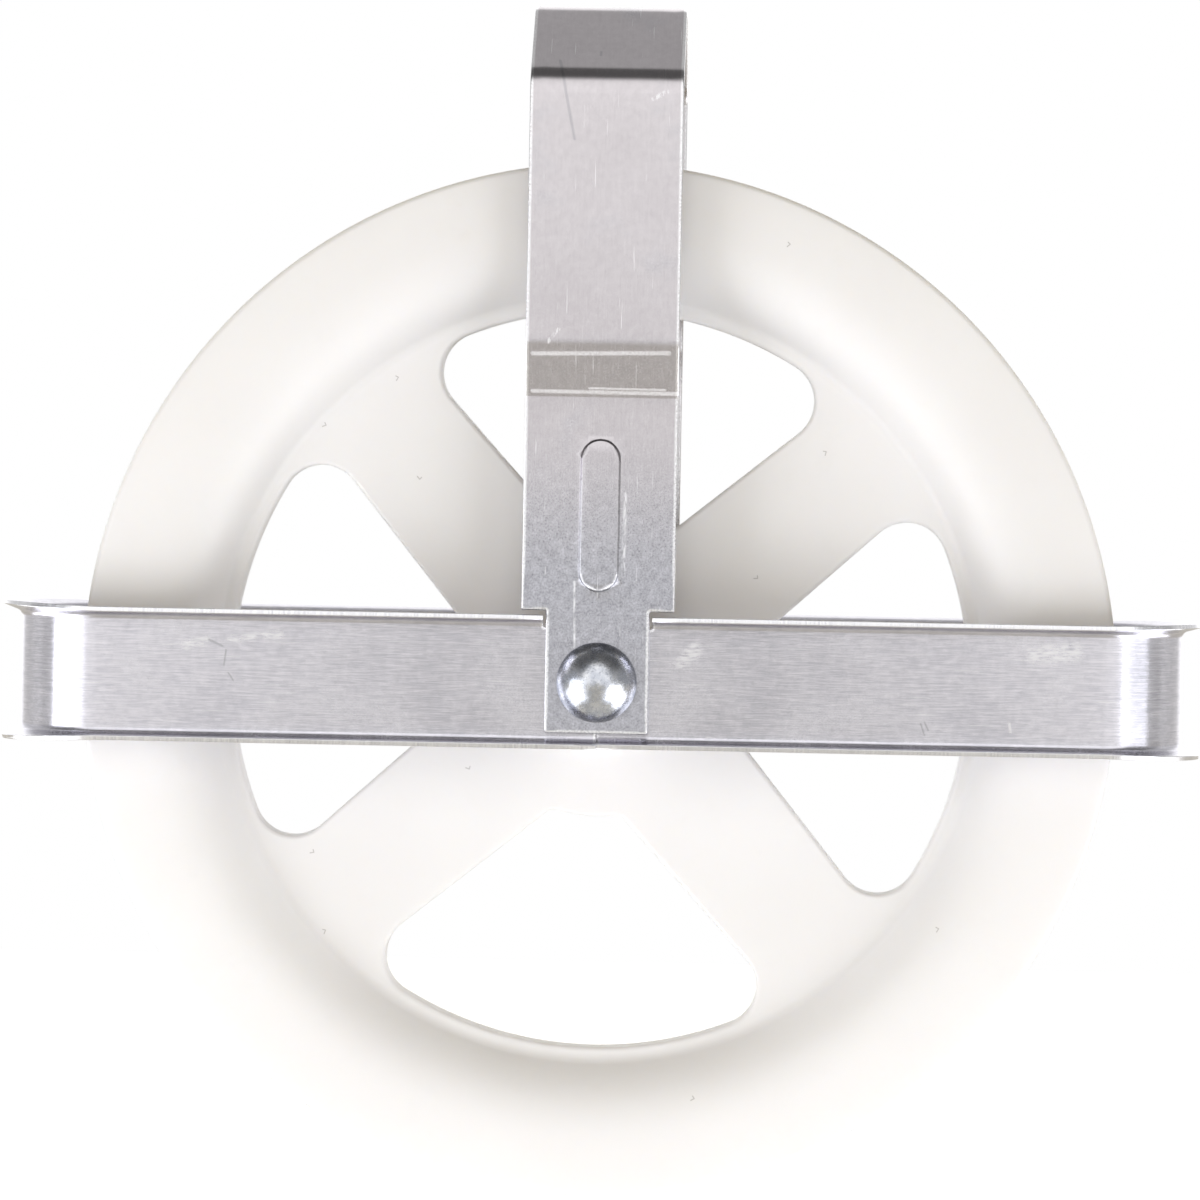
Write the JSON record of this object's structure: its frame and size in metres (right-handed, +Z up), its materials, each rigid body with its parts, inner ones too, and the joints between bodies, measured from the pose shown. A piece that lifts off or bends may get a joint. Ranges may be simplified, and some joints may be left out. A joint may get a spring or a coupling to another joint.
{
  "type": "clothesline pulley",
  "caption": "Grooved white plastic wheel turning between folded aluminium line guards, hung from a bent strip hanger with a gable eye for a hook.",
  "frame": {"origin": "centre of the wheel, on the axle", "axes": "+Z up to the hanging eye, +X along the line guards, +Y along the axle from front to back"},
  "size_m": [0.1929, 0.0363, 0.1903],
  "materials": {
    "white_plastic": "satin moulded, slightly translucent",
    "guard_aluminium": "mill finish, grain along the guards",
    "hanger_aluminium": "mill finish, grain up the strip",
    "rivet_steel": "bright zinc plate",
    "sleeve_steel": "plain"
  },
  "bodies": {
    "frame": {"left_guard": "guard_aluminium", "right_guard": "guard_aluminium", "hanger": "hanger_aluminium", "axle_rivet": "rivet_steel", "axle_sleeve": "sleeve_steel"},
    "wheel": {"wheel": "white_plastic"}
  },
  "joints": [
    {"name": "wheel_spin", "type": "hinge", "parent": "frame", "child": "wheel", "pos_m": [0, 0, 0], "axis": [0, 1, 0], "continuous": true}
  ]
}
